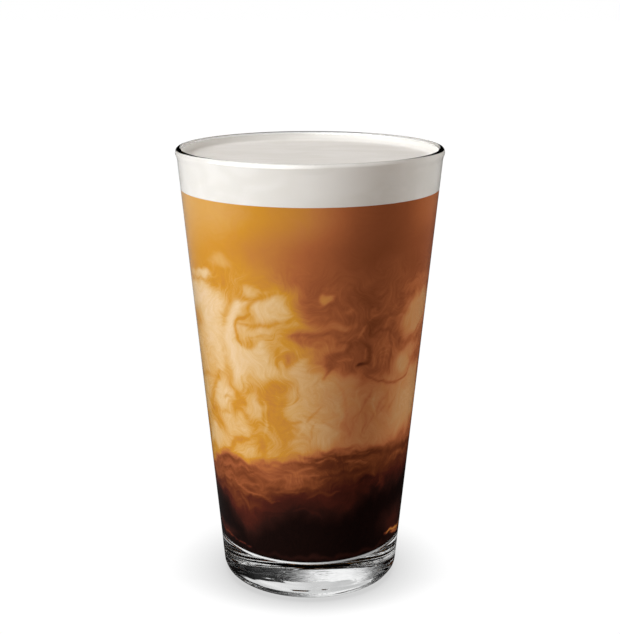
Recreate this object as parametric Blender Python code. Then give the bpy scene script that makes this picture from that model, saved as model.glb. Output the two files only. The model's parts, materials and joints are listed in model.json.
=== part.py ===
"""Nitro cold brew in a pint glass, as separate closed solids.

A tapered glass with a rim bead and a thick base holds four layers: dark coffee on the floor,
a billowing cream cloud, milky coffee and a foam head. Blender 4.5, metres, +Z up. The origin is
the centre of the circle that the glass stands on, and the front of the glass faces -Y.
"""

from math import atan, cos, exp, pi, radians, sin, sqrt

import bmesh
import bpy

MM = 0.001

# Glass: outside of the cone, rim bead, heel and underside
GLASS_HEIGHT = 150.0 * MM
RIM_RADIUS = 44.45 * MM
CONE_TOP_RADIUS = 44.2 * MM
CONE_FOOT_RADIUS = 30.0 * MM
BEAD_WIDEST_BELOW_RIM = 1.3 * MM
BEAD_ENDS_BELOW_RIM = 3.8 * MM
LIP_THICKNESS = 2.35 * MM
LIP_INNER_ROUND = 1.0 * MM
HEEL_ROUND = 5.0 * MM
BEARING_RING_WIDTH = 4.0 * MM
PUNT_DEPTH = 1.6 * MM

# Glass: inside
BASE_THICKNESS = 12.4 * MM
WALL_AT_FLOOR = 4.8 * MM
FLOOR_ROUND = 4.0 * MM

# Drink: levels above the table, and the clearance that neighbours keep
FOAM_TOP = 146.8 * MM
FOAM_LINE = 136.6 * MM
CLOUD_TOP = 107.0 * MM
CLOUD_BOTTOM = 50.0 * MM
MENISCUS_RISE = 0.5 * MM
MENISCUS_WIDTH = 3.0 * MM
GAP = 0.3 * MM

# Tongues of milky coffee that hang down into the cloud: azimuth and half width in degrees, depth
TONGUES = ((-36.0, 8.0, 4.0 * MM), (38.0, 24.0, 28.0 * MM))
# Sags of the cloud into the dark coffee, given in the same way
SAGS = ((-62.0, 30.0, 2.5 * MM), (70.0, 22.0, 1.5 * MM))
# The back of the drink repeats the front's tongues and sags half a turn on
REPEATS = (0.0, 180.0)
# Billows along both faces of the cloud: waves round the glass, height, phase in degrees
BILLOWS = ((5, 1.6 * MM, 20.0), (8, 1.1 * MM, 75.0), (13, 0.6 * MM, 140.0))

# Facets
SEGMENTS = 96
ARC_STEPS = 5
LIP_STEPS = 4
RING_SHARES = (0.22, 0.44, 0.64, 0.82, 1.0)


def clear_scene():
    """Remove whatever the file opened with."""
    for item in list(bpy.data.objects):
        bpy.data.objects.remove(item, do_unlink=True)


def finish_material(name, colour, roughness, alpha=1.0):
    """Principled material of one colour; an alpha below 1 marks the clear glass."""
    made = bpy.data.materials.new(name)
    made.use_nodes = True
    made.diffuse_color = (*colour, alpha)
    shader = made.node_tree.nodes["Principled BSDF"]
    shader.inputs["Base Color"].default_value = (*colour, 1.0)
    shader.inputs["Roughness"].default_value = roughness
    shader.inputs["Metallic"].default_value = 0.0
    shader.inputs["Alpha"].default_value = alpha
    return made


def arc(centre, radii, start, end, steps):
    """Points of an elliptic arc from one angle to another, both ends included."""
    turns = [radians(start + (end - start) * i / steps) for i in range(steps + 1)]
    return [(centre[0] + radii[0] * cos(a), centre[1] + radii[1] * sin(a)) for a in turns]


def cone_slope():
    """Growth of the outside radius for each metre of height."""
    return (CONE_TOP_RADIUS - CONE_FOOT_RADIUS) / GLASS_HEIGHT


def outer_radius(height):
    """Outside of the straight cone."""
    return CONE_FOOT_RADIUS + cone_slope() * height


def bore_line():
    """Radius at the table and slope of the straight inner wall, from floor to lip."""
    low = BASE_THICKNESS
    high = GLASS_HEIGHT - LIP_INNER_ROUND
    low_radius = outer_radius(low) - WALL_AT_FLOOR
    slope = (RIM_RADIUS - LIP_THICKNESS - low_radius) / (high - low)
    return low_radius - slope * low, slope


def bore_radius(height, inset=0.0):
    """Inner wall, or a cone that stays clear of it by the inset."""
    foot, slope = bore_line()
    return foot + slope * height - inset * sqrt(1.0 + slope * slope)


def floor_corner(inset=0.0):
    """Arc from the flat floor to the inner wall, offset inwards for the drink."""
    foot, slope = bore_line()
    lean = sqrt(1.0 + slope * slope)
    level = BASE_THICKNESS + FLOOR_ROUND
    centre = (foot + slope * level - FLOOR_ROUND * lean, level)
    size = FLOOR_ROUND - inset
    tilt = atan(slope) * 180.0 / pi
    return arc(centre, (size, size), -90.0, -tilt, ARC_STEPS)


def rim_profile():
    """Lip from the inner wall over the top and down the bead to the cone."""
    crest = RIM_RADIUS - LIP_THICKNESS / 2.0
    inner = arc((crest, GLASS_HEIGHT - LIP_INNER_ROUND),
                (LIP_THICKNESS / 2.0, LIP_INNER_ROUND), 180.0, 90.0, LIP_STEPS)
    outer = arc((crest, GLASS_HEIGHT - BEAD_WIDEST_BELOW_RIM),
                (LIP_THICKNESS / 2.0, BEAD_WIDEST_BELOW_RIM), 90.0, 0.0, LIP_STEPS)
    widest = GLASS_HEIGHT - BEAD_WIDEST_BELOW_RIM
    proud = RIM_RADIUS - outer_radius(widest)
    skirt = []
    for i in range(1, LIP_STEPS + 1):
        share = i / LIP_STEPS
        height = widest - share * (BEAD_ENDS_BELOW_RIM - BEAD_WIDEST_BELOW_RIM)
        skirt.append((outer_radius(height) + proud * (1.0 + cos(pi * share)) / 2.0, height))
    return inner + outer[1:] + skirt


def foot_profile():
    """Rounded heel, flat bearing ring and shallow punt, in to the axis."""
    slope = cone_slope()
    lean = sqrt(1.0 + slope * slope)
    centre_radius = outer_radius(HEEL_ROUND) - HEEL_ROUND * lean
    tilt = atan(slope) * 180.0 / pi
    heel = arc((centre_radius, HEEL_ROUND), (HEEL_ROUND, HEEL_ROUND), -tilt, -90.0, ARC_STEPS)
    punt_radius = centre_radius - BEARING_RING_WIDTH
    punt = []
    for i in range(ARC_STEPS):
        share = i / ARC_STEPS
        punt.append((punt_radius * (1.0 - share), PUNT_DEPTH * sin(share * pi / 2.0)))
    return heel + punt + [(0.0, PUNT_DEPTH)]


def turned(name, profile, material, base=0.0):
    """Turn a profile about Z with a Screw modifier; it runs down the outer side."""
    mesh = bpy.data.meshes.new(name)
    points = [(radius, 0.0, height - base) for radius, height in profile]
    mesh.from_pydata(points, [(i, i + 1) for i in range(len(points) - 1)], [])
    made = bpy.data.objects.new(name, mesh)
    made.location.z = base
    bpy.context.scene.collection.objects.link(made)
    screw = made.modifiers.new("turn", "SCREW")
    screw.axis = "Z"
    screw.angle = 2.0 * pi
    screw.steps = SEGMENTS
    screw.render_steps = SEGMENTS
    screw.use_merge_vertices = True
    screw.merge_threshold = 0.01 * MM
    screw.use_smooth_shade = True
    mesh.materials.append(material)
    return made


def make_glass():
    """Clear tapered pint glass, one solid with an open bore."""
    profile = [(0.0, BASE_THICKNESS)] + floor_corner() + rim_profile() + foot_profile()
    return turned("glass", profile, finish_material("clear_glass", (0.86, 0.9, 0.91), 0.05, 0.35))


def make_foam():
    """White foam head from the foam line up to its top, with a small meniscus at the wall."""
    bottom = FOAM_LINE + GAP / 2.0
    edge = FOAM_TOP + MENISCUS_RISE
    top = []
    for i in range(ARC_STEPS + 1):
        share = i / ARC_STEPS
        radius = bore_radius(edge, GAP) - MENISCUS_WIDTH * share
        top.append((radius, FOAM_TOP + MENISCUS_RISE * (1.0 - share) ** 2))
    rising = [(0.0, FOAM_TOP)] + top[::-1]
    profile = rising + [(bore_radius(bottom, GAP), bottom), (0.0, bottom)]
    return turned("foam_head", profile, finish_material("milk_foam", (0.86, 0.84, 0.79), 0.6), bottom)


def azimuth_gap(a, b):
    """Degrees between two azimuths, the short way round."""
    return abs((a - b + 180.0) % 360.0 - 180.0)


def dips(azimuth, shapes):
    """Sum of bell-shaped dips round the glass, front and back alike."""
    return sum(depth * exp(-((azimuth_gap(azimuth, middle + turn) / half_width) ** 2))
               for middle, half_width, depth in shapes for turn in REPEATS)


def billow(azimuth, shift=0.0):
    """Sum of the named waves round the glass."""
    return sum(height * sin(radians(waves * azimuth + phase + shift))
               for waves, height, phase in BILLOWS)


def cloud_top(azimuth, share):
    """Upper face of the cloud: level on the axis, tongues and billows towards the wall."""
    return CLOUD_TOP + share * share * (billow(azimuth) - dips(azimuth, TONGUES))


def cloud_bottom(azimuth, share):
    """Lower face of the cloud: level on the axis, sags and billows towards the wall."""
    return CLOUD_BOTTOM + share * share * (billow(azimuth, 90.0) - dips(azimuth, SAGS))


def foam_line(azimuth, share):
    """The foam floats on a level surface."""
    return FOAM_LINE


def face_rings(surface, offset):
    """Rings of a layer's face from near the axis out to the wall, as points (radius, height)."""
    rings = []
    for share in RING_SHARES:
        ring = []
        for i in range(SEGMENTS):
            azimuth = 360.0 * i / SEGMENTS
            edge = surface(azimuth, 1.0) + offset
            ring.append((share * bore_radius(edge, GAP), surface(azimuth, share) + offset))
        rings.append(ring)
    return rings


def layer(name, lower_rings, lower_pole, upper_rings, upper_pole, material, base):
    """Close a stack of rings, from the lower pole out, up the wall and in to the upper pole."""
    rings = lower_rings + upper_rings[::-1]
    form = bmesh.new()
    loops = []
    for ring in rings:
        turns = [2.0 * pi * i / SEGMENTS - pi / 2.0 for i in range(SEGMENTS)]
        loops.append([form.verts.new((r * cos(a), r * sin(a), z - base))
                      for (r, z), a in zip(ring, turns)])
    south = form.verts.new((0.0, 0.0, lower_pole - base))
    north = form.verts.new((0.0, 0.0, upper_pole - base))
    for i in range(SEGMENTS):
        j = (i + 1) % SEGMENTS
        form.faces.new((south, loops[0][j], loops[0][i]))
        form.faces.new((north, loops[-1][i], loops[-1][j]))
        for level, (low, high) in enumerate(zip(loops, loops[1:])):
            if level < len(lower_rings):
                form.faces.new((low[i], low[j], high[j]))
                form.faces.new((low[i], high[j], high[i]))
            else:
                form.faces.new((low[i], low[j], high[i]))
                form.faces.new((low[j], high[j], high[i]))
    mesh = bpy.data.meshes.new(name)
    form.to_mesh(mesh)
    form.free()
    mesh.shade_smooth()
    mesh.set_sharp_from_angle(angle=radians(40.0))
    mesh.materials.append(material)
    made = bpy.data.objects.new(name, mesh)
    made.location.z = base
    bpy.context.scene.collection.objects.link(made)
    return made


def make_milky_coffee():
    """Golden brown coffee between the cloud and the foam."""
    return layer("milky_coffee",
                 face_rings(cloud_top, GAP / 2.0), cloud_top(0.0, 0.0) + GAP / 2.0,
                 face_rings(foam_line, -GAP / 2.0)[-1:], FOAM_LINE - GAP / 2.0,
                 finish_material("milky_coffee", (0.42, 0.17, 0.04), 0.3), CLOUD_TOP)


def make_cream_cloud():
    """Pale cream that billows through the middle of the drink."""
    return layer("cream_cloud",
                 face_rings(cloud_bottom, GAP / 2.0), cloud_bottom(0.0, 0.0) + GAP / 2.0,
                 face_rings(cloud_top, -GAP / 2.0), cloud_top(0.0, 0.0) - GAP / 2.0,
                 finish_material("cream", (0.68, 0.42, 0.17), 0.35), CLOUD_BOTTOM)


def make_dark_coffee():
    """Near-black coffee that fills the glass from the floor up to the cloud."""
    corner = [[point] * SEGMENTS for point in floor_corner(GAP)]
    return layer("dark_coffee",
                 corner, BASE_THICKNESS + GAP,
                 face_rings(cloud_bottom, -GAP / 2.0), cloud_bottom(0.0, 0.0) - GAP / 2.0,
                 finish_material("dark_coffee", (0.012, 0.004, 0.002), 0.2), BASE_THICKNESS + GAP)


def main():
    """Build the five solids and hang them from one empty."""
    clear_scene()
    root = bpy.data.objects.new("cold_brew", None)
    bpy.context.scene.collection.objects.link(root)
    for make in (make_glass, make_foam, make_milky_coffee, make_cream_cloud, make_dark_coffee):
        make().parent = root


main()
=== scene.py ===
"""Looks of a nitro cold brew in a pint glass: clear glass, foam head and swirled drink.

Laid out as a Blender add-on and run as a script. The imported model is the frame: every piece
takes its size from it, and metres and +Z up are kept throughout. The front faces -Y.
"""

import json
from math import atan, cos, pi, radians, sin, sqrt

import bpy
import numpy as np
from bpy.props import FloatProperty, PointerProperty, StringProperty
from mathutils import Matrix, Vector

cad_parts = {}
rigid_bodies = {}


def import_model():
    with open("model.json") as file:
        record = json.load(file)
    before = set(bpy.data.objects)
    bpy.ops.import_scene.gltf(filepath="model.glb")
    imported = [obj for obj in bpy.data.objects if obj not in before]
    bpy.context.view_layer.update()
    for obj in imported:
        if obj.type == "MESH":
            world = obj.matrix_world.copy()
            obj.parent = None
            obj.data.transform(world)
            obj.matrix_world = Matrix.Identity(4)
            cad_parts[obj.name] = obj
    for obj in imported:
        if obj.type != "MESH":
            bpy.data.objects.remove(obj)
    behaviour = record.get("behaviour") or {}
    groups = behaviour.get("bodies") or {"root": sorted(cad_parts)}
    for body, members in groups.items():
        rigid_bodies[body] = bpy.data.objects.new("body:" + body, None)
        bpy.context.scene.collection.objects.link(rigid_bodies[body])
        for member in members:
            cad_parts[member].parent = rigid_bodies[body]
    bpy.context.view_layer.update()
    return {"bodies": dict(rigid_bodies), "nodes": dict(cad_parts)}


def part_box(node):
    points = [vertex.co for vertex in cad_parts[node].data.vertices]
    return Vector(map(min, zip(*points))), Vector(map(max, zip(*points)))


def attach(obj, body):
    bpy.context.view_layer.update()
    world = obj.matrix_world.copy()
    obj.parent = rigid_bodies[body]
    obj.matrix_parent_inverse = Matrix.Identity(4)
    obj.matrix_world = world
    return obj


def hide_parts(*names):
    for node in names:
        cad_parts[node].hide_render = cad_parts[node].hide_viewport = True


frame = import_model()

bl_info = {
    "name": "Nitro cold brew in a pint glass",
    "version": (1, 0, 0),
    "blender": (4, 5, 0),
    "location": "3D View > Sidebar > Cold Brew",
    "description": "Dresses the packed model of a cold brew in its glass",
    "category": "Add Mesh",
}

MM = 0.001
BODY = "root"

# The frame's own sizes
GLASS_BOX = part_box("glass")
FOAM_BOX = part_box("foam_head")
MILKY_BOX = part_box("milky_coffee")
DARK_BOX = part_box("dark_coffee")
CLEARANCE = 0.3 * MM
FOAM_LINE = (FOAM_BOX[0][2] + MILKY_BOX[1][2]) / 2.0
FLOOR_LEVEL = DARK_BOX[0][2] - CLEARANCE
# Level top of the foam, and height and width of the film that clings to the wall above it
FOAM_TOP = FOAM_BOX[1][2] - 0.5 * MM
FILM_RISE = 2.7 * MM
MENISCUS_WIDTH = 8.0 * MM
# Height of the last ring below a sharp edge, which keeps the edge crisp under smooth shading
SEAM = 0.02 * MM

# Ripples of the base: share, rate per mm of height, lobes round the glass, phase
RIPPLES = ((0.5, 1.9, 1, 0.4), (0.4, -1.2, 3, 2.0), (0.3, 3.1, 2, 4.4), (0.2, 4.3, -3, 1.1),
           (0.2, 0.6, 7, 3.3))
# In mm: where it ends, the height and the radius over which it fades, and the radius within
# which it lifts the underside
RIPPLE_TOP, RIPPLE_FADE, RIPPLE_MIDDLE, RIPPLE_FOOT = 11.0, 5.0, 8.0, 24.0
# Last rows of the glass's profile, which are its inside
INSIDE_ROWS = 70

# Length of one degree round the drink, and the whole way round, in mm at mean radius
TURN_MM = 0.63
AROUND = 360.0 * TURN_MM
# Halves of the drink: azimuth of the middle, direction and spread, bend in mm, noise seed
HALVES = ((0.0, 1.0, 0.0, 101), (180.0, -0.84, 8.0, 211))
# In mm: where the bend begins and how tall it is, and the heights over which it returns below
BEND_LOW, BEND_TALL = 52.0, 66.0
BEND_FLOOR = (18.0, 30.0)

# Panels: name, azimuth and elevation in degrees, width and height; all stand equally far off
PANELS = (("key", -49.0, 29.5, (0.4, 0.8)), ("kick", 113.0, 3.0, (0.5, 0.8)),
          ("edge", -112.0, 8.0, (0.4, 0.8)))
PANEL_AWAY = 1.6
FLOOR_HALF = 6.0
# The fill is warm
FILL_TINT = (1.0, 0.84, 0.72, 1.0)
WHITE = (1.0, 1.0, 1.0, 1.0)
# Settings that many nodes share
SMOOTH = {"interpolation_type": "SMOOTHSTEP"}
COLOUR = {"data_type": "RGBA"}
# Facing, 0 head on and 1 at a glance, between which a wetted surface turns into a mirror
GRAZE = (0.44, 0.52)
# Light is reflected inside the thick base many times
BOUNCES = 12


def number(name, description, default, unit="NONE"):
    """Setting that holds a number."""
    return FloatProperty(name=name, description=description, default=default, unit=unit,
                         precision=5)


def length(name, description, default):
    """Setting that holds a length in metres."""
    return number(name, description, default, "LENGTH")


class GlassSizes(bpy.types.PropertyGroup):
    """Sizes of the clear glass. Height and rim come from the frame."""
    height: length("Height", "Table to the top of the lip", GLASS_BOX[1][2])
    rim_radius: length("Rim radius", "Axis to the widest part of the bead", GLASS_BOX[1][0])
    cone_top: length("Cone at the rim", "Outside of the cone at rim height", 44.2 * MM)
    cone_foot: length("Cone at the table", "Outside of the cone at z = 0", 30.0 * MM)
    lip: length("Lip thickness", "Bead to bore across the rim", 2.35 * MM)
    lip_round: length("Lip round", "Height of the round inside the lip", 1.0 * MM)
    bead: length("Bead round", "Height of the round outside the lip", 1.5 * MM)
    bead_end: length("Bead end", "Top of the lip down to the plain cone", 3.8 * MM)
    wall: length("Wall at the floor", "Thickness where the bore ends", 4.8 * MM)
    heel: length("Heel round", "Radius of the outer bottom edge", 5.0 * MM)
    ring: length("Bearing ring", "Width of the flat that the glass stands on", 4.0 * MM)
    punt: length("Punt depth", "Hollow under the foot", 1.6 * MM)
    corner: length("Floor round", "Radius between floor and bore", 4.0 * MM)
    ripple: length("Ripple", "Waviness that pressing leaves in the base", 0.10 * MM)


class DrinkLook(bpy.types.PropertyGroup):
    """Make-up of the drink."""
    foam: StringProperty(name="Foam", description="Head of fine bubbles", default="#F5F5F3")
    foam_low: StringProperty(name="Foam between", description="Where its bubbles are coarser",
                             default="#F0F0ED")
    # its colour is darker than the head's: painted shade for the film's steep face, which the key
    # light strikes squarely
    film: StringProperty(name="Film", description="Thin foam left on the wall above the head",
                         default="#DCDCD9")
    into_wall: length("Reach into the wall", "Overlap that hides an air gap", 0.15 * MM)


class StageLook(bpy.types.PropertyGroup):
    """Camera, floor and lights."""
    camera_back: length("Camera distance", "From the axis, towards -Y", 425.8 * MM)
    camera_up: length("Camera height", "Above the floor", 203.6 * MM)
    pitch: number("Camera pitch", "Downwards from level", radians(14.735), "ROTATION")
    lens: number("Lens", "Focal length on a 36 mm sensor", 73.12)
    key: number("Key light", "Light on the side that faces it", 0.98)
    kick: number("Kick light", "Light on the side that faces it", 0.96)
    edge: number("Edge light", "Light on the side that faces it", 0.2)
    fill: number("Fill", "Even light from all round", 0.29)
    softbox: number("Softbox", "Its brightness mirrored in the glass", 8.0)


def linear(code):
    """sRGB hex code to linear red, green, blue: the standard curve, channel by channel."""
    parts = [int(code[i:i + 2], 16) / 255.0 for i in (1, 3, 5)]
    return tuple(c / 12.92 if c <= 0.04045 else ((c + 0.055) / 1.055) ** 2.4 for c in parts)


def add(tree, kind, links=(), **settings):
    """One shader node with its settings.

    Links holds a value or a source for its inputs, by name or number, or listed in their order.
    A node that stands as a source gives its first output.
    """
    node = tree.nodes.new("ShaderNode" + kind)
    for name, value in settings.items():
        setattr(node, name, value)
    for name, source in links.items() if isinstance(links, dict) else enumerate(links):
        if isinstance(source, bpy.types.Node):
            source = source.outputs[0]
        if isinstance(source, bpy.types.NodeSocket):
            tree.links.new(source, node.inputs[name])
        else:
            node.inputs[name].default_value = source
    return node


def paint_of(code):
    """Hex code as a colour with alpha."""
    return (*linear(code), 1.0)


def new_material(name):
    """Empty node material; returns it and its tree."""
    made = bpy.data.materials.new(name)
    made.use_nodes = True
    made.node_tree.nodes.clear()
    return made, made.node_tree


def arc(centre, radii, start, end, steps):
    """Elliptic arc: centre plus the radii times the cosine and sine of an evenly stepped angle."""
    turn = np.radians(np.linspace(start, end, steps + 1))
    return np.stack([centre[0] + radii[0] * np.cos(turn), centre[1] + radii[1] * np.sin(turn)], 1)


def line(a, b, steps):
    """Straight run between two points, without the last one."""
    share = np.linspace(0.0, 1.0, steps + 1)[:-1, None]
    return np.asarray(a) * (1.0 - share) + np.asarray(b) * share


def cone_slope(sizes):
    """Growth of the outside radius with height."""
    return (sizes.cone_top - sizes.cone_foot) / sizes.height


def outer_radius(sizes, height):
    """Outside of the straight cone."""
    return sizes.cone_foot + cone_slope(sizes) * height


def bore_line(sizes):
    """Radius at the table and slope of the straight inner wall."""
    low, high = FLOOR_LEVEL, sizes.height - sizes.lip_round
    low_radius = outer_radius(sizes, low) - sizes.wall
    slope = (sizes.rim_radius - sizes.lip - low_radius) / (high - low)
    return low_radius - slope * low, slope


def bore_radius(sizes, height, grow=0.0):
    """Inner wall, or a cone a little outside it."""
    foot, slope = bore_line(sizes)
    return foot + slope * height + grow * sqrt(1.0 + slope * slope)


def floor_corner(sizes, grow=0.0, steps=12):
    """Round between the flat floor and the bore, a quarter turn less the wall's lean."""
    foot, slope = bore_line(sizes)
    level = FLOOR_LEVEL + sizes.corner
    centre = (foot + slope * level - sizes.corner * sqrt(1.0 + slope * slope), level)
    size = sizes.corner + grow
    return arc(centre, (size, size), -90.0, -atan(slope) * 180.0 / pi, steps)


def glass_profile(sizes):
    """Meridian of the glass from the punt up the outside, over the lip and down the bore."""
    half_lip = sizes.lip / 2.0
    crest = sizes.rim_radius - half_lip
    corner = floor_corner(sizes)
    top_in = arc((crest, sizes.height - sizes.lip_round), (half_lip, sizes.lip_round),
                 180.0, 90.0, 12)
    top_out = arc((crest, sizes.height - sizes.bead), (half_lip, sizes.bead), 90.0, 0.0, 12)
    share = np.linspace(0.0, 1.0, 13)[1:]
    heights = sizes.height - sizes.bead - share * (sizes.bead_end - sizes.bead)
    proud = sizes.rim_radius - outer_radius(sizes, sizes.height - sizes.bead)
    skirt = np.stack([outer_radius(sizes, heights) + proud * (1.0 + np.cos(pi * share)) / 2.0,
                      heights], 1)
    slope = cone_slope(sizes)
    middle = outer_radius(sizes, sizes.heel) - sizes.heel * sqrt(1.0 + slope * slope)
    heel = arc((middle, sizes.heel), (sizes.heel, sizes.heel), -atan(slope) * 180.0 / pi, -90.0, 16)
    inner = middle - sizes.ring
    share = np.linspace(0.0, 1.0, 21)
    punt = np.stack([inner * (1.0 - share), sizes.punt * np.sin(share * pi / 2.0)], 1)
    floor = line((0.0, FLOOR_LEVEL), corner[0], 16)
    bore = line(corner[-1], top_in[0], 30)[1:]
    cone = line(skirt[-1], heel[0], 40)[1:]
    ring = line(heel[-1], punt[0], 4)[1:]
    inside = [floor, corner, bore, top_in]
    return np.concatenate([*inside, top_out[1:], skirt, cone, heel, ring, punt])[::-1]


def turned_grid(profile, steps):
    """Each profile point swept round Z: x and y are radius times cosine and sine of the turn."""
    turn = np.arange(steps) * (2.0 * pi / steps) - pi / 2.0
    radius, height = profile[:, 0, None], profile[:, 1, None]
    return np.stack([radius * np.cos(turn), radius * np.sin(turn),
                     np.broadcast_to(height, (len(profile), steps))], 2)


def pressed_ripple(grid, depth):
    """Waviness of the pressed base: crossed sines of height and turn, gone above the heel.

    Long round the glass and short up it, so that the light in the base breaks into streaks.
    """
    height = grid[..., 2] / MM
    radius = np.hypot(grid[..., 0], grid[..., 1])
    turn = np.arctan2(grid[..., 1], grid[..., 0])
    # the waves climb outwards, by 0.4 mm for each mm
    up = height + 0.4 * (radius / MM - 28.0)
    wave = 0.0
    for share, rate, lobes, phase in RIPPLES:
        wave = wave + share * np.sin(rate * up + lobes * turn + phase)
    fade = np.clip((RIPPLE_TOP - height) / RIPPLE_FADE, 0.0, 1.0)
    fade = fade * np.clip(radius / (RIPPLE_MIDDLE * MM), 0.0, 1.0)
    outside = np.arange(len(grid))[:, None] < len(grid) - INSIDE_ROWS
    push = depth * wave * fade * outside
    made = grid.copy()
    # outwards on the side, and upwards under the foot, where nothing may reach below the table
    lean = np.clip(height / RIPPLE_FADE, 0.0, 1.0)
    made[..., :2] *= (1.0 + push * lean / np.maximum(radius, MM))[..., None]
    made[..., 2] += 2.0 * np.abs(push) * (1.0 - lean) * (radius < RIPPLE_FOOT * MM)
    return made


def closed_mesh(name, grid, material):
    """Closed skin from rings (rows, steps, 3) whose first and last rows are single points.

    Faces join each ring to the next and wrap round, and the two poles are fans. The rows run
    up the outside, which makes every face look outwards.
    """
    rows, steps = grid.shape[:2]
    rings = grid[1:-1]
    points = np.concatenate([grid[0, :1], rings.reshape(-1, 3), grid[-1, :1]])
    index = 1 + np.arange((rows - 2) * steps).reshape(rows - 2, steps)
    across = np.roll(index, -1, 1)
    quads = np.stack([index[:-1], across[:-1], across[1:], index[1:]], 2).reshape(-1, 4)
    first = np.stack([np.zeros(steps, int), across[0], index[0]], 1)
    last = np.stack([np.full(steps, len(points) - 1), index[-1], across[-1]], 1)
    mesh = bpy.data.meshes.new(name)
    mesh.from_pydata(points.tolist(), [], first.tolist() + quads.tolist() + last.tolist())
    mesh.shade_smooth()
    mesh.materials.append(material)
    made = bpy.data.objects.new(name, mesh)
    bpy.context.scene.collection.objects.link(made)
    return made


def glass_material():
    """Soda-lime tumbler glass, pressed and fire-polished: clear, smooth, faintly green-grey.

    Rays from lamps and diffuse light pass straight through, so the drink behind is lit.
    """
    made, tree = new_material("soda_lime_glass")
    clear = add(tree, "BsdfPrincipled", {
        "Base Color": (0.985, 0.992, 0.99, 1.0), "Roughness": 0.0, "IOR": 1.52,
        "Transmission Weight": 1.0})
    open_way = add(tree, "BsdfTransparent", {"Color": (0.98, 0.985, 0.983, 1.0)})
    path = add(tree, "LightPath").outputs
    straight = add(tree, "Math", (path["Is Shadow Ray"], path["Is Diffuse Ray"]),
                   operation="MAXIMUM")
    add(tree, "OutputMaterial", (add(tree, "MixShader", (straight, clear, open_way)),))
    return made


def wetted(tree, shader, dry=0.0):
    """Surface that mirrors at a glancing angle, past about 60 degrees, save where it is dry.

    Light that runs down inside the glass wall meets the liquid so, and goes on down the wall.
    """
    facing = add(tree, "LayerWeight", {"Blend": 0.5}).outputs["Facing"]
    share = add(tree, "MapRange", (facing, *GRAZE))
    wet = add(tree, "Math", (1.0, dry), operation="SUBTRACT")
    mirrored = add(tree, "Math", (share, wet), operation="MULTIPLY")
    mirror = add(tree, "BsdfGlossy", {"Roughness": 0.0, "Color": (0.95, 0.95, 0.95, 1.0)})
    return add(tree, "MixShader", (mirrored, shader, mirror))


def foam_material(look):
    """Nitrogen foam: bubbles too fine to see make it matt white with a faint warm tone.

    Broad faint streaks show where it settled. The film on the wall is thinner, and painted greyer:
    painted shade on its steep face, which the key light strikes more squarely than the level top.
    """
    made, tree = new_material("nitro_foam")
    film, dry = (add(tree, "Attribute", attribute_name=name).outputs["Fac"]
                 for name in ("film", "dry"))
    where = add(tree, "TexCoord").outputs["Object"]
    grain = add(tree, "TexNoise", {"Vector": where, "Scale": 1.0 / (0.5 * MM), "Detail": 2.0})
    longer = add(tree, "Mapping", {"Vector": where, "Scale": (0.4, 1.0, 1.0)})
    streaks = add(tree, "TexNoise", {"Vector": longer, "Scale": 1.0 / (7.0 * MM), "Detail": 4.0,
                                     "Distortion": 0.6})
    settled = add(tree, "MapRange", (streaks, 0.4, 0.62), **SMOOTH)
    head = add(tree, "Mix", {0: settled, 6: paint_of(look.foam_low), 7: paint_of(look.foam)},
               **COLOUR)
    # painted shade: the film's steep face is darker than the head
    colour = add(tree, "Mix", {0: film, 6: head.outputs[2], 7: paint_of(look.film)}, **COLOUR)
    bump = add(tree, "Bump", {"Strength": 0.15, "Distance": 0.1 * MM, "Height": grain})
    shader = add(tree, "BsdfPrincipled", {
        "Base Color": colour.outputs[2], "Roughness": 0.55, "Specular IOR Level": 0.2,
        "Subsurface Weight": 0.1, "Subsurface Radius": (1.0, 0.9, 0.8),
        "Subsurface Scale": 1.5 * MM, "Normal": bump})
    add(tree, "OutputMaterial", (wetted(tree, shader, dry),))
    return made


def coordinates(mesh):
    """x, y and z of all points, as three rows."""
    flat = np.empty(len(mesh.vertices) * 3, np.float32)
    mesh.vertices.foreach_get("co", flat)
    return flat.reshape(-1, 3).T.astype(float)


def store(mesh, name, values):
    """Attribute on the points: a number for each, or a vector for each."""
    kind, field = ("FLOAT", "value") if values.ndim == 1 else ("FLOAT_VECTOR", "vector")
    layer = mesh.attributes.new(name, kind, "POINT")
    layer.data.foreach_set(field, values.astype(np.float32).ravel())


def mark_foam(mesh, sizes):
    """Stores dry, 1 where the foam doesn't touch the glass, and film, 1 on the film's face, which
    is painted darker as painted shade.
    """
    x, y, z = coordinates(mesh)
    dry = np.hypot(x, y) < bore_radius(sizes, z) + 0.1 * MM
    store(mesh, "dry", dry)
    store(mesh, "film", dry * step(z, FOAM_TOP + 0.2 * MM, FOAM_TOP + 0.8 * MM))


# The drink's tone is its share of cream, from 0 black coffee to 1 cream, with painted shade laid
# over it round the glass. Heights are in mm.
# Coffee under the foam: azimuth, tone at the foam line, tone lower down. It is lighter at the left
# and darkest near 35 to 47 degrees, which is painted shade of the key light.
UPPER = ((-90, 0.765, 0.72), (-60, 0.765, 0.72), (-43, 0.765, 0.7), (-33, 0.735, 0.66),
         (-24, 0.7, 0.615), (-14, 0.665, 0.57), (0, 0.63, 0.5), (10, 0.55, 0.47),
         (20, 0.475, 0.44), (35, 0.445, 0.43), (47, 0.455, 0.43), (58, 0.52, 0.44),
         (70, 0.56, 0.46), (90, 0.58, 0.48))

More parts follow.
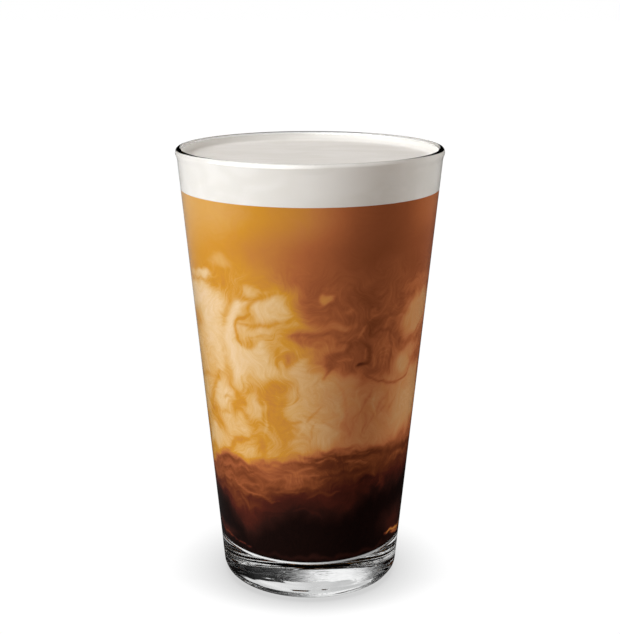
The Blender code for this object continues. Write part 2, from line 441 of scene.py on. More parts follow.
# Patches: azimuth, height, half width (degrees), half height (mm), tilt, tone, strength, softness
PATCHES = (
    # body of the cloud
    (-56, 82, 44, 31, 0, 0.82, 1.0, 0.12),
    (-40, 68, 60, 18, 0, 0.79, 0.9, 0.25),
    (18, 67, 66, 15, 3, 0.68, 1.0, 0.2),
    (-14, 97, 24, 13.5, -8, 0.76, 0.9, 0.25),
    # amber shoulder above the cloud at the left
    (-56, 114, 34, 6.5, -3, 0.7, 0.95, 0.5),
    (-35, 109, 9, 5, -20, 0.71, 0.9, 0.5),
    (-46, 117.5, 6.5, 1.9, 8, 0.81, 0.7, 0.7),
    (-62, 111.5, 7, 1.5, 0, 0.96, 0.95, 0.6),
    (-72, 111, 8, 1.0, 0, 0.84, 0.8, 0.7),
    # creams of the upper left
    (-68, 103.8, 20, 4.6, 0, 0.91, 0.95, 0.4),
    (-61, 102.5, 8, 4, 0, 0.97, 0.8, 0.7),
    (-57, 95.5, 9, 8, 0, 0.97, 0.9, 0.6),
    (-57, 86.5, 12, 6, 0, 0.93, 0.8, 0.6),
    (-78, 94, 5.5, 4, 0, 0.7, 0.95, 0.6),
    (-69, 83, 10, 5, 0, 0.82, 0.8, 0.7),
    (-39, 84, 6, 7.5, 0, 0.94, 0.9, 0.6),
    (-28, 86.5, 8, 6.5, 10, 0.93, 0.9, 0.6),
    (-25, 82.3, 12, 2.4, -2, 0.9, 0.8, 0.7),
    (-28, 108.4, 5, 1.7, 8, 0.86, 0.9, 0.6),
    (-19, 103.2, 9, 4.2, 12, 0.9, 0.95, 0.55),
    (-29, 95.4, 10, 1.8, 0, 0.87, 0.8, 0.7),
    (-10, 97.6, 9, 1.6, 8, 0.8, 0.8, 0.7),
    (-33, 91.8, 5, 1.8, 10, 0.73, 0.9, 0.6),
    (-19, 91.5, 4, 2.6, 0, 0.75, 0.8, 0.7),
    # red-brown coffee sinking in from the right
    (8, 107, 14, 10, -20, 0.46, 0.95, 0.45),
    (36, 98, 26, 20, -10, 0.455, 0.97, 0.22),
    (26, 88, 16, 6.5, -8, 0.45, 0.9, 0.4),
    (3, 94, 13, 3.2, -4, 0.51, 0.9, 0.5),
    (7, 90, 10, 1.6, 8, 0.6, 0.8, 0.7),
    (-10, 87.4, 5.5, 2.2, -12, 0.58, 0.9, 0.6),
    (-6.5, 86.6, 2.2, 0.9, 0, 0.5, 0.8, 0.8),
    (-10, 91.4, 4.5, 1.8, 0, 0.71, 0.85, 0.7),
    (7, 107, 3.0, 1.5, -10, 0.69, 0.95, 0.5),
    (19, 103.4, 2.4, 0.7, -10, 0.57, 0.7, 0.7),
    (15, 98, 6, 1.1, -5, 0.58, 0.85, 0.7),
    (27, 107, 9, 3.2, 0, 0.41, 0.8, 0.8),
    (31, 97.3, 5, 2.4, 8, 0.37, 0.85, 0.7),
    (40, 95, 4, 2.2, 0, 0.47, 0.7, 0.8),
    (44.6, 88, 4.6, 5, 8, 0.52, 0.8, 0.7),
    (37, 87, 4, 4, 0, 0.49, 0.7, 0.8),
    (42, 114.5, 6, 3.6, -10, 0.46, 0.7, 0.7),
    (27, 84.3, 1.8, 0.8, 22, 0.22, 0.95, 0.6),
    # tan fields at the right
    (68, 98, 17, 7.2, 14, 0.78, 0.97, 0.35),
    (70, 108.6, 16, 2.4, 4, 0.56, 0.6, 0.7),
    (56, 82, 9, 5, 0, 0.69, 0.85, 0.6),
    (64, 85.6, 8, 2.3, 14, 0.7, 0.85, 0.6),
    (57.5, 81.6, 6, 3.0, -18, 0.83, 0.9, 0.6),
    (68, 66, 17, 9.5, 8, 0.82, 0.95, 0.5),
    (71, 76, 8, 4.5, 10, 0.8, 0.85, 0.6),
    (82, 88, 6, 9, 0, 0.56, 0.7, 0.7),
    # pale middle, with its sharp left edge
    (2, 72, 14, 11, -8, 0.84, 0.95, 0.3),
    (-4, 83, 6, 5, -10, 0.84, 0.9, 0.5),
    (12, 71, 12, 9, 0, 0.78, 0.8, 0.7),
    (6, 61, 9, 5, 10, 0.86, 0.85, 0.5),
    (-7, 57.5, 6, 4, -30, 0.78, 0.85, 0.6),
    (3.6, 84, 3.6, 2.4, 0, 0.73, 0.75, 0.3),
    (22, 64.5, 4.5, 4.5, 0, 0.59, 0.7, 0.8),
    (31, 74.4, 3.5, 1.1, 8, 0.59, 0.6, 0.8),
    # golds and creams of the lower left
    (-20, 68, 7, 9.5, 8, 0.665, 0.95, 0.45),
    (-25, 59, 9, 5, 0, 0.74, 0.8, 0.6),
    (-15, 60, 4, 5, 0, 0.69, 0.8, 0.7),
    (-33, 69, 5.5, 5.2, 22, 0.85, 0.9, 0.5),
    (-42, 70, 4.2, 3.6, -30, 0.69, 0.95, 0.5),
    (-35, 74, 4, 1.2, 10, 0.75, 0.8, 0.6),
    (-49, 79.5, 3.6, 3.2, 0, 0.74, 0.85, 0.6),
    (-56, 71.2, 9, 4.4, 10, 0.92, 0.95, 0.45),
    (-49, 71.4, 4, 0.9, 5, 0.74, 0.8, 0.6),
    (-64, 61.8, 8, 3.0, -10, 0.69, 0.95, 0.5),
    (-54, 58.8, 6, 1.4, -12, 0.72, 0.85, 0.6),
    (-46, 61.6, 11, 4.6, -12, 0.86, 0.95, 0.45),
    (-80, 67.5, 9, 5, 0, 0.87, 0.8, 0.6),
    (-68, 54, 12, 3.2, 4, 0.87, 0.9, 0.5),
    (-85, 56, 6, 4, 0, 0.67, 0.8, 0.7),
    (-40, 54, 8, 2.8, 14, 0.81, 0.9, 0.5),
    (-28, 55, 2.6, 3, 0, 0.63, 0.7, 0.8),
)

# Ribbons: width in mm, tone, strength, then points of azimuth and height
RIBBONS = (
    (1.6, 0.71, 0.95, ((-39, 108), (-42, 103.6), (-45, 100), (-48, 95.5))),
    (2.1, 0.98, 0.95, ((-31, 104.8), (-36, 104.2), (-40.5, 101), (-43.4, 96.5), (-44.2, 92),
                       (-42.6, 88), (-41, 84), (-40, 79.5))),
    (0.7, 0.62, 0.8, ((-30, 101.6), (-34, 100.7), (-37.5, 99.6), (-39.6, 97), (-39.8, 94.6),
                      (-38.4, 92), (-36, 90))),
    (1.2, 0.69, 0.85, ((-31, 101.6), (-29.5, 104), (-26, 106.3), (-20, 108), (-12, 109.3))),
    (0.8, 0.69, 0.8, ((-38, 97.8), (-31, 98.1), (-24, 97.5), (-18, 97.8), (-12, 99.3), (-5, 101))),
    (0.6, 0.72, 0.7, ((-34, 93.6), (-26, 94.2), (-18, 94.6), (-10, 96))),
    (0.9, 0.66, 0.7, ((-17, 91), (-16, 88), (-17, 85), (-15, 82))),
    # strands that the sinking coffee draws into the cloud
    (0.9, 0.45, 0.8, ((-9, 95), (-3, 95.7), (5, 96), (13, 96.4), (20, 95.5))),
    (1.0, 0.42, 0.8, ((7, 80.6), (9.5, 83.5), (11.5, 86.6), (15, 88.7), (20, 89.6), (25, 91.5))),
    (0.6, 0.55, 0.6, ((9, 88.6), (13, 90.4), (18, 90.6))),
    (0.5, 0.6, 0.5, ((14, 86), (18, 86.6), (22, 86))),
    (0.5, 0.58, 0.8, ((23.5, 93.2), (25.6, 95.2), (27.6, 97.6))),
    (1.1, 0.35, 0.8, ((25.5, 92.8), (29, 92), (31.6, 90), (31.8, 87), (30, 85), (26.5, 84))),
    (0.6, 0.55, 0.9, ((33.4, 88), (34.2, 85.6), (33.2, 83))),
    (0.5, 0.54, 0.85, ((36.4, 92), (38.4, 89), (38.4, 85.6), (37, 82.4))),
    (0.5, 0.55, 0.8, ((40, 92.4), (41.6, 88.6), (41, 84.6), (39.6, 81))),
    (0.6, 0.4, 0.8, ((44, 94), (45.4, 88), (44.6, 83), (46, 79))),
    (0.5, 0.52, 0.6, ((42.6, 99.6), (44.4, 102.4), (47.6, 104))),
    (0.5, 0.52, 0.6, ((30, 99.4), (34, 101), (39, 100.4), (43, 98))),
    (0.6, 0.36, 0.6, ((33, 93.4), (37, 95.4), (42, 95), (47, 92.6))),
    (0.5, 0.36, 0.6, ((16, 93), (20, 92), (24, 89.4))),
    (0.4, 0.56, 0.6, ((29.4, 90.4), (30, 88.4), (28.6, 86.4))),
    (0.8, 0.5, 0.6, ((48, 92), (50, 96.6), (54, 100.6), (60, 104))),
    (2.2, 0.47, 0.4, ((32, 118), (40, 118.6), (46, 115.4), (48, 110.6))),
    (0.5, 0.4, 0.75, ((24.6, 83.6), (28, 81.4), (33, 79.4), (38, 77.8), (44, 76.5), (52, 75.8),
                       (58, 75.8), (63, 77.2), (66, 79.8))),
    (0.3, 0.62, 0.5, ((28, 80.6), (33, 78.7), (38, 77.1), (44, 75.9), (52, 75.1), (58, 75.1))),
    (0.45, 0.55, 0.7, ((61, 85), (64, 82.6), (64.4, 80), (62.6, 78))),
    (0.9, 0.49, 0.75, ((51, 85.6), (55, 87.2), (61, 88.8), (68, 91.4), (78, 95.6))),
    (1.0, 0.5, 0.7, ((65, 79.6), (69, 82.6), (75, 84), (84, 84))),
    (0.5, 0.56, 0.5, ((66, 84), (70, 86.5), (76, 88.4))),
    # folds of the pale middle
    (0.8, 0.57, 0.9, ((24.6, 66.6), (29.6, 69.4), (33.4, 72.6), (35.2, 76))),
    (0.8, 0.58, 0.9, ((32.6, 59.8), (35.6, 64.6), (39.4, 68.4), (43.6, 71), (48, 74))),
    (0.6, 0.58, 0.85, ((39.6, 66.4), (43, 67.6), (46.6, 68.6))),
    (0.6, 0.58, 0.7, ((19.6, 68), (20.6, 64), (22.4, 60.8), (25.6, 64.4), (27, 67))),
    (0.5, 0.67, 0.7, ((-2.6, 65), (1.4, 68), (5.6, 71))),
    (0.5, 0.67, 0.6, ((-1, 57.6), (0.4, 61), (2.4, 65))),
    (0.5, 0.66, 0.6, ((6.6, 66), (10.4, 64.8), (14, 63))),
    (0.6, 0.66, 0.6, ((-11, 64.4), (-7.6, 65.4), (-4, 65.8))),
    (0.5, 0.72, 0.5, ((50, 72), (56, 73.4), (62, 72.4), (68, 74))),
    (0.6, 0.86, 0.5, ((-8, 76), (-2, 79), (4, 80.4), (12, 80))),
    (0.6, 0.85, 0.5, ((10, 76), (15, 72), (17, 67), (16, 62))),
    (0.5, 0.6, 0.5, ((14, 79), (18, 75.6), (19.4, 71), (18.6, 67))),
    (0.5, 0.83, 0.5, ((27, 77), (26, 72.6), (27.4, 69))),
    (0.6, 0.56, 0.8, ((28, 69), (31.4, 66.4), (32, 62.6), (30, 59))),
    (0.6, 0.82, 0.7, ((37, 74), (36, 70.6), (38, 66))),
    (0.6, 0.58, 0.75, ((47, 66), (50, 68.8), (54, 70.4))),
    (0.5, 0.64, 0.5, ((-9, 72), (-6, 75), (-7, 79))),
    (0.6, 0.88, 0.5, ((-6, 61), (-3, 64), (-4, 69))),
    # folds of the lower left
    (0.7, 0.62, 0.5, ((-24, 76), (-22, 71), (-23.4, 65), (-20.6, 60))),
    (0.6, 0.73, 0.5, ((-18, 77), (-17, 72), (-18.4, 66))),
    (1.5, 0.71, 0.9, ((-55, 79.4), (-60, 75.6), (-64, 71), (-67.6, 66.4), (-71, 65.8))),
    (0.9, 0.73, 0.8, ((-86, 74.6), (-76, 74.4), (-66, 76), (-58, 76.4))),
    (0.9, 0.72, 0.8, ((-87, 61), (-78, 60.2), (-68, 58.8), (-60, 57.6))),
    (0.6, 0.74, 0.8, ((-60, 64.4), (-54, 65.6), (-49.6, 65.2))),
    (0.8, 0.7, 0.8, ((-37.4, 79.6), (-38, 75.6), (-41, 72.4), (-46, 75.6), (-49, 78))),
    (0.8, 0.71, 0.8, ((-40, 67), (-36.6, 64.4), (-33, 61.6))),
    (1.4, 0.64, 0.85, ((-55, 50), (-51.6, 53), (-48, 55.6), (-41, 56.6), (-35, 58.4))),
    (0.7, 0.84, 0.6, ((-26, 73), (-24, 66), (-26, 60))),
)

# Edge between the cloud and the dark coffee below: azimuth, height
DARK_EDGE = ((-90, 41), (-80, 43), (-72, 46.5), (-62, 49.5), (-50, 50.4), (-40, 49.8), (-30, 50.8),
             (-20, 51.4), (-10, 51.6), (0, 53.6), (10, 55.4), (20, 56), (30, 55.2), (42, 54),
             (56, 53), (70, 51.8), (90, 50.5))

# Edge between the red-brown and the black coffee, and the tone just under the cloud
DEEP_EDGE = ((-90, 31), (-80, 32.5), (-68, 31), (-58, 28.5), (-50, 26), (-45, 22.6), (-40, 22.4),
             (-31, 26), (-20, 29.5), (-12, 32.4), (0, 33), (10, 31.4), (20, 31.6), (30, 33.4),
             (40, 36.4), (55, 37.4), (90, 38.4))
UNDER = ((-90, 0.4), (-70, 0.41), (-50, 0.365), (-30, 0.4), (-15, 0.4), (0, 0.38), (12, 0.33),
         (25, 0.32), (45, 0.32), (65, 0.31), (90, 0.27))

# Patches in the dark coffee
DEEP = (
    (-26, 48, 8, 3.0, -10, 0.5, 0.7, 0.7),
    (-12, 44, 12, 3.2, 4, 0.41, 0.8, 0.6),
    (-62, 43, 20, 4, 6, 0.39, 0.6, 0.7),
    (-56, 35, 15, 4.5, -14, 0.31, 0.7, 0.6),
    (-40, 34, 9, 2.5, -10, 0.25, 0.6, 0.7),
    (-20, 35, 9, 3, 20, 0.13, 0.7, 0.7),
    (9, 40, 5, 2.5, 0, 0.19, 0.7, 0.7),
    (-43, 27, 7, 4.5, 0, 0.19, 0.7, 0.7),
    (20, 38, 9, 5, -20, 0.17, 0.8, 0.7),
    (47, 43.5, 2.4, 5, 8, 0.27, 0.7, 0.7),
    (38, 40, 2.4, 4, 0, 0.18, 0.6, 0.7),
    # painted glow: lighter red-brown low at the right and at the left, for light let in through the
    # base
    (70, 23, 15, 5, 0, 0.17, 0.8, 0.8),
    (-72, 19.5, 12, 1.8, 0, 0.2, 0.7, 0.8),
    (20, 15.4, 45, 0.9, 0, 0.13, 0.8, 0.8),
)
DEEP_RIBBONS = (
    (0.6, 0.57, 0.75, ((-9, 51.2), (-4, 51.9), (1, 51))),
    (0.5, 0.56, 0.75, ((4, 51.6), (10, 52.7), (16, 51.5))),
    (0.5, 0.52, 0.7, ((19, 50.1), (24, 51.1), (28, 50.6))),
    (0.6, 0.56, 0.7, ((-30, 49.4), (-24, 50.3), (-18, 49))),
    (0.6, 0.55, 0.7, ((-15, 48), (-8, 47.3), (-2, 48.7), (4, 49.2))),
    (0.5, 0.52, 0.7, ((-16, 46), (-8, 46.6), (0, 46), (7, 47))),
    (0.5, 0.53, 0.7, ((27, 50), (31, 50.2), (36, 48.8))),
    (0.5, 0.5, 0.6, ((6, 54), (14, 53.4), (22, 54), (30, 52.8), (38, 52.6))),
    (0.9, 0.27, 0.7, ((4, 52.4), (10, 53.6), (17, 52.8), (24, 53.6))),
    (0.6, 0.24, 0.7, ((16, 51), (20, 50.2), (24, 50.4))),
    (0.6, 0.4, 0.6, ((-14, 42), (-5, 43.4), (3, 42.6), (10, 43.4))),
    (0.5, 0.5, 0.6, ((-40, 44), (-32, 45.4), (-24, 44.6), (-16, 45.2))),
    (0.5, 0.33, 0.6, ((-2, 38.4), (5, 40.4), (13, 39.4), (20, 40.6))),
    (0.8, 0.28, 0.6, ((14, 44), (22, 45.6), (30, 44.4), (38, 45.4))),
    (0.7, 0.12, 0.7, ((30, 41), (36, 43.4), (43, 42.6))),
    (0.5, 0.27, 0.6, ((44, 38.4), (46.4, 41), (46, 44), (49, 46.6))),
    (0.6, 0.47, 0.6, ((-72, 39.6), (-62, 40.4), (-50, 39.4), (-38, 40.4), (-30, 41.6))),
    (0.7, 0.37, 0.6, ((-49, 36.6), (-45, 34), (-40, 31.6))),
    (0.9, 0.3, 0.6, ((-70, 47), (-62, 47.8), (-54, 48.6), (-46, 47.4))),
    (0.7, 0.5, 0.6, ((-64, 45), (-54, 45.4), (-44, 46.6), (-36, 46))),
    (0.7, 0.16, 0.6, ((-10, 33), (-4, 34), (4, 33), (8, 31))),
    (0.45, 0.5, 0.6, ((-60, 43.4), (-53, 41.2), (-46, 38.4), (-38, 37), (-31, 37.6))),
    (0.5, 0.4, 0.5, ((-44, 41.6), (-37, 39.8), (-30, 37.4), (-24, 36.2), (-19, 36.4))),
    (0.5, 0.4, 0.5, ((-22, 39.6), (-15, 40.6), (-8, 39.8), (-2, 41.2))),
    # painted glints: amber lines along the bottom edge at the right and red-brown ones at the left,
    # for light let in through the base
    (0.6, 0.78, 0.95, ((58, 18.6), (67, 19.1), (75, 18.8), (88, 18.2))),
    (0.45, 0.66, 0.9, ((66, 17.8), (73, 17.8), (80, 17.3), (88, 17))),
    (0.35, 0.36, 0.8, ((-80, 18.8), (-72, 18.4), (-64, 18.2), (-58, 17.4))),
    (0.3, 0.33, 0.7, ((-60, 16.8), (-52, 16.4), (-42, 16.2))),
)


def lattice_noise(u, v, across, seed, rows=200):
    """Smooth noise from -1 to 1: gradient noise on a unit lattice.

    Each corner slopes in a random direction, and the four corners round a point are blended by
    smooth steps. It repeats after across cells in u and rows cells in v.
    """
    rng = np.random.default_rng(seed)
    angle = rng.uniform(0.0, 2.0 * np.pi, (rows, across))
    column = np.floor(u).astype(int)
    row = np.floor(v).astype(int)
    du, dv = u - column, v - row
    total = 0.0
    for i in (0, 1):
        for j in (0, 1):
            a = angle[(row + j) % rows, (column + i) % across]
            reach = np.cos(a) * (du - i) + np.sin(a) * (dv - j)
            su = 1.0 - np.abs(du - i)
            sv = 1.0 - np.abs(dv - j)
            total = total + reach * su * su * (3 - 2 * su) * sv * sv * (3 - 2 * sv)
    return total * 1.5


def noise(s, z, size_u, size_v, seed, detail=1):
    """Noise with cells of about size_u by size_v mm. Each further octave halves size and weight."""
    total, norm = 0.0, 0.0
    for k in range(detail):
        across = max(2, int(round(AROUND / size_u * 2 ** k)))
        part = lattice_noise(s / AROUND * across, z / size_v * 2 ** k + 40.0, across, seed + 17 * k)
        total = total + part * 0.5 ** k
        norm += 0.5 ** k
    return total / norm


def step(x, low, high):
    """Smooth step: 0 below low, 1 above high."""
    t = np.clip((x - low) / (high - low), 0.0, 1.0)
    return t * t * (3.0 - 2.0 * t)


def drift(s, z, size, reach, seed, steps=8):
    """Carries points along a noise field's swirls: small moves at right angles to its slope."""
    h = 0.3
    scale = reach * size * size / (2.0 * h * steps)
    for _ in range(steps):
        rise = noise(s, z + h, size, size, seed) - noise(s, z - h, size, size, seed)
        run = noise(s + h, z, size, size, seed) - noise(s - h, z, size, size, seed)
        s, z = s + rise * scale, z - run * scale
    return s, z


def shortest_way(s, start):
    """Distance round the drink from start, the shorter way."""
    return (s - start + AROUND / 2.0) % AROUND - AROUND / 2.0


def patch(tone, s, z, stroke):
    """Soft tilted oval pulling the tone to its own."""
    azimuth, height, wide, tall, tilt, own, strength, soft = stroke
    gap = shortest_way(s, azimuth * TURN_MM)
    rise = z - height
    c, k = np.cos(np.radians(tilt)), np.sin(np.radians(tilt))
    along = (gap * c + rise * k) / (wide * TURN_MM)
    over = (rise * c - gap * k) / tall
    far = np.sqrt(along * along + over * over)
    share = strength * (1.0 - step(far, 1.0 - soft, 1.0 + soft))
    return tone + share * (own - tone)


def ribbon(tone, s, z, stroke):
    """Soft line along its points, thin at both ends: a bell curve of the distance from it."""
    wide, own, strength, points = stroke
    path = np.array(points, float)
    path[:, 0] *= TURN_MM
    share = np.zeros_like(tone)
    count = len(path) - 1
    for k in range(count):
        a, b = path[k], path[k + 1]
        d = b - a
        gap = shortest_way(s, a[0])
        rise = z - a[1]
        t = np.clip((gap * d[0] + rise * d[1]) / (d @ d), 0.0, 1.0)
        off = (gap - t * d[0]) ** 2 + (rise - t * d[1]) ** 2
        run = (k + t) / count
        taper = 0.35 + 0.65 * np.sin(np.pi * np.clip(run, 0.04, 0.96))
        piece = strength * np.exp(-off / (wide * taper) ** 2) * np.minimum(1.0, taper * 1.5)
        share = np.maximum(share, piece)
    return tone + share * (own - tone)


def half_of_drink(azimuth, z, seed):
    """Tone, shaded hue (the painted hue that runs from gold on the lit side to tan on the shaded
    side) and swirled place in one half of the drink, azimuth 0 at its middle.

    Lengths and heights are in mm. The strokes are laid over the coffee under the foam one by
    one, then folds and fine threads of noise, and last the dark coffee below its ragged edge.
    """
    s = azimuth * TURN_MM
    # swirled coordinates: slight for the drawn shapes, strong for the threads within them
    ws, wz = drift(s, z, 15.0, 0.03, seed, 3)
    ws, wz = drift(ws, wz, 5.0, 0.10, seed + 3, 4)
    fs, fz = drift(ws, wz, 11.0, 0.36, seed + 5, 8)
    # ribbons follow the swirl a little less
    rs, rz = 0.6 * ws + 0.4 * s, 0.6 * wz + 0.4 * z
    upper_at, near_tones, low_tones = zip(*UPPER)
    near = np.interp(azimuth, upper_at, near_tones)
    low = np.interp(azimuth, upper_at, low_tones)
    tone = low + (near - low) * step(z, 121.0, 134.0)
    tone = tone + 0.025 * noise(s, z, 14.0, 14.0, seed + 7, 2) * (1.0 - step(z, 118, 128))
    for stroke in PATCHES:
        tone = patch(tone, ws, wz, stroke)
    # folds and filaments within the cloud
    fold = noise(fs, fz, 10.0, 6.0, seed + 11, 3)
    crease = (1.0 - np.abs(noise(fs, fz, 9.0, 7.0, seed + 13, 2))) ** 9
    fine = noise(fs, fz, 3.2, 1.5, seed + 17, 2)
    cloudy = step(tone, 0.5, 0.72) * (1.0 - step(wz, 110.0, 118.0))
    tone = tone + cloudy * (0.07 * fold - 0.02 * crease + 0.025 * fine)
    sinking = (1.0 - cloudy) * (1.0 - step(wz, 104.0, 116.0))
    tone = tone + sinking * (0.05 * fold + 0.015 * crease + 0.025 * fine)
    for stroke in RIBBONS:
        tone = ribbon(tone, rs, rz, stroke)
    # dark coffee under a ragged edge, black below
    strand = noise(ws + 2.0 * fold, wz + 1.2 * fold, 15.0, 1.9, seed + 41, 2)
    edge = np.interp(azimuth, *zip(*DARK_EDGE))
    bottom = np.interp(azimuth, *zip(*DEEP_EDGE))
    depth = (wz + 1.2 * fold - bottom) / (edge - bottom)
    under = np.interp(azimuth, *zip(*UNDER))
    dark = 0.02 + 0.09 * step(depth, -0.22, 0.15) + (under - 0.11) * step(depth, 0.02, 0.7)
    for stroke in DEEP:
        dark = patch(dark, ws, wz, stroke)
    dark = dark + (0.05 * fold + 0.085 * strand + 0.03 * fine) * step(dark, 0.06, 0.3)
    torn = 0.15 + 0.35 * step(z, 20.0, 28.0)
    for stroke in DEEP_RIBBONS:
        dark = ribbon(dark, rs, rz + torn * strand, stroke)
    ragged = 0.5 * wz + 0.5 * z + 1.3 * strand + 0.8 * noise(ws, wz, 9.0, 4.0, seed + 19, 2)
    share = step(ragged, edge - 2.4, edge + 1.6)
    tone = dark + share * (tone - dark)
    # painted hue of light and shade: gold on the lit left, tan on the shaded right
    turn = azimuth - 7.0 * step(z, 82.0, 92.0)
    shaded_hue = step(turn, -22.0, 22.0) * step(z, 30.0, 50.0)
    shaded_hue = np.clip(shaded_hue + 0.25 * fold, 0.0, 1.0)
    return np.clip(tone, 0.0, 1.0), shaded_hue, fs, fz


# Colours by tone: dark coffee, then gold for the lit side and tan for the shaded side, a painted
# hue of light and shade, then cream
DEEPS = ((0.0, "#0D0605"), (0.1, "#2D1612"), (0.2, "#502219"), (0.3, "#6C361F"), (0.38, "#8B4B2B"))
GOLD = DEEPS + ((0.45, "#A25B37"), (0.52, "#B66B3D"), (0.6, "#C5813F"), (0.7, "#D39532"),
                (0.8, "#DEAF69"), (0.9, "#E7C490"), (1.0, "#EDD0A8"))
TAN = DEEPS + ((0.45, "#A25B38"), (0.52, "#BA6C42"), (0.6, "#C87C4F"), (0.7, "#D18E5B"),
               (0.8, "#D39D69"), (0.9, "#DDB181"), (1.0, "#E5BF95"))


def coloured(tree, tone, table):
    """Colour for a tone, with a stop of the ramp for each (tone, hex code) of the table."""
    node = add(tree, "ValToRGB", (tone,))
    stops = node.color_ramp.elements
    while len(stops) < len(table):
        stops.new(1.0)
    for stop, (position, code) in zip(stops, table):
        stop.position = position
        stop.color = paint_of(code)
    return node


def drink_material():
    """Cold coffee and cream: opaque, its colour set by how much cream each spot holds and by
    painted shade, lighter and gold on the lit side, darker and tan on the shaded side.

    A fine noise along the swirl adds the threads that are too thin for the mesh. They are
    weaker in the coffee under the foam, which has been stirred through.
    """
    made, tree = new_material("swirled_coffee")
    # the tone carries painted shade, and the second mask is the painted hue of the shaded side
    cream, shaded_hue = (add(tree, "Attribute", attribute_name=name).outputs["Fac"]
                   for name in ("cream", "shaded_hue"))
    swirl = add(tree, "Attribute", attribute_name="swirl").outputs["Vector"]
    thread = add(tree, "TexNoise", {"Vector": swirl, "Scale": 1.0 / (1.8 * MM), "Detail": 3.0})
    amount = add(tree, "MapRange", (cream, 0.1, 0.5, 0.03, 0.17))
    where = add(tree, "TexCoord").outputs["Object"]
    height = add(tree, "SeparateXYZ", (where,)).outputs["Z"]
    stirred = add(tree, "MapRange", (height, 106.0 * MM, 122.0 * MM, 1.0, 0.2), **SMOOTH)
    centred = add(tree, "Math", (thread, 0.5), operation="SUBTRACT")
    push = add(tree, "Math", (amount, stirred), operation="MULTIPLY")
    tone = add(tree, "Math", (centred, push, cream), operation="MULTIPLY_ADD")
    # painted hue: gold where the side is lit, tan where it is shaded
    colour = add(tree, "Mix", {0: shaded_hue, 6: coloured(tree, tone, GOLD),
                               7: coloured(tree, tone, TAN)}, **COLOUR)
    shader = add(tree, "BsdfPrincipled", {
        "Base Color": colour.outputs[2], "Roughness": 0.4, "Specular IOR Level": 0.0})
    add(tree, "OutputMaterial", (wetted(tree, shader),))
    return made


def paint(mesh):
    """Stores the share of cream with its painted shade, the painted hue of the lit and shaded
    sides, and the swirled place of every point.

    The stroke lists paint the front. The same lists turned left to right, spread wider, bent in
    height and swirled another way paint the back, so that gold meets gold and brown meets brown in
    ragged soft bands at the sides.
    """
    x, y, z = coordinates(mesh) / MM
    azimuth = np.degrees(np.arctan2(x, -y))
    ragged = 0.3 * noise(azimuth * TURN_MM, z, 16.0, 11.0, 5, 3)
    front = step(np.cos(np.radians(azimuth)) + ragged, -0.15, 0.15)
    # tone with painted shade, painted hue of the shaded side, and the swirl's offsets
    cream, shaded_hue, over, up = np.zeros((4, len(x)))
    for (turn, facing, bend, seed), share in zip(HALVES, (front, 1.0 - front)):
        used = share > 0.0
        own = facing * ((azimuth[used] - turn + 180.0) % 360.0 - 180.0)
        height = z[used] + bend * np.sin(pi * np.clip((z[used] - BEND_LOW) / BEND_TALL, 0.0, 1.0))
        height = height + bend * (1.0 - step(z[used], *BEND_FLOOR))
        parts = half_of_drink(own, height, seed)
        cream[used] += share[used] * parts[0]
        shaded_hue[used] += share[used] * parts[1]
        over[used] += share[used] * (parts[2] - own * TURN_MM) / facing
        up[used] += share[used] * (parts[3] - height)
    turned = np.radians(azimuth + over / TURN_MM)
    radius = TURN_MM * 180.0 / pi
    swirl = np.stack([radius * np.sin(turned), -radius * np.cos(turned), z + up], 1) * MM
    for name, values in (("cream", cream), ("shaded_hue", shaded_hue), ("swirl", swirl)):
        store(mesh, name, values)


def drink_profile(sizes, look):
    """Meridian of the drink: floor, corner and wall up to the foam line, then in to the axis."""
    corner = floor_corner(sizes, look.into_wall)
    corner[:, 1] += (look.into_wall + 0.1 * MM) * np.linspace(1.0, 0.0, len(corner)) ** 0.5
    foot = corner[0]
    floor = line((0.0, foot[1]), foot, 8)
    low = corner[-1]
    heights = np.append(np.linspace(low[1], FOAM_LINE - SEAM, 230)[1:], FOAM_LINE)
    wall = np.stack([bore_radius(sizes, heights, look.into_wall), heights], 1)
    lid = line(wall[-1], (0.0, FOAM_LINE), 6)[1:]
    return np.concatenate([floor, corner, wall, lid, [(0.0, FOAM_LINE)]])


def foam_profile(sizes, look):
    """Meridian of the foam: bottom, side, thin film up the wall and level top, axis to axis.

    The film falls to the level top as the ninth power of the way still to go.
    """
    edge = bore_radius(sizes, FOAM_TOP + FILM_RISE, look.into_wall)
    foot = bore_radius(sizes, FOAM_LINE, look.into_wall)
    share = np.linspace(0.0, 1.0, 25) ** 2
    rise = FOAM_TOP + FILM_RISE * (1.0 - share) ** 9
    top = np.stack([edge - MENISCUS_WIDTH * share, rise], 1)
    bottom = line((0.0, FOAM_LINE), (foot, FOAM_LINE), 6)
    low = (bore_radius(sizes, FOAM_LINE + SEAM, look.into_wall), FOAM_LINE + SEAM)
    wall = np.concatenate([line((foot, FOAM_LINE), low, 1), line(low, top[0], 12)])
    level = line(top[-1], (0.0, FOAM_TOP), 20)[1:]
    return np.concatenate([bottom, wall, top, level, [(0.0, FOAM_TOP)]])


class BREW_OT_glass(bpy.types.Operator):
    """Blow the clear glass: one turned skin with bore, lip, bead, heel and punt"""
    bl_idname = "brew.glass"
    bl_label = "Clear glass"

    def execute(self, context):
        sizes = context.scene.brew_glass
        glass = closed_mesh("clear_glass", pressed_ripple(
            turned_grid(glass_profile(sizes), 288), sizes.ripple), glass_material())
        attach(glass, BODY)
        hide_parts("glass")
        return {"FINISHED"}


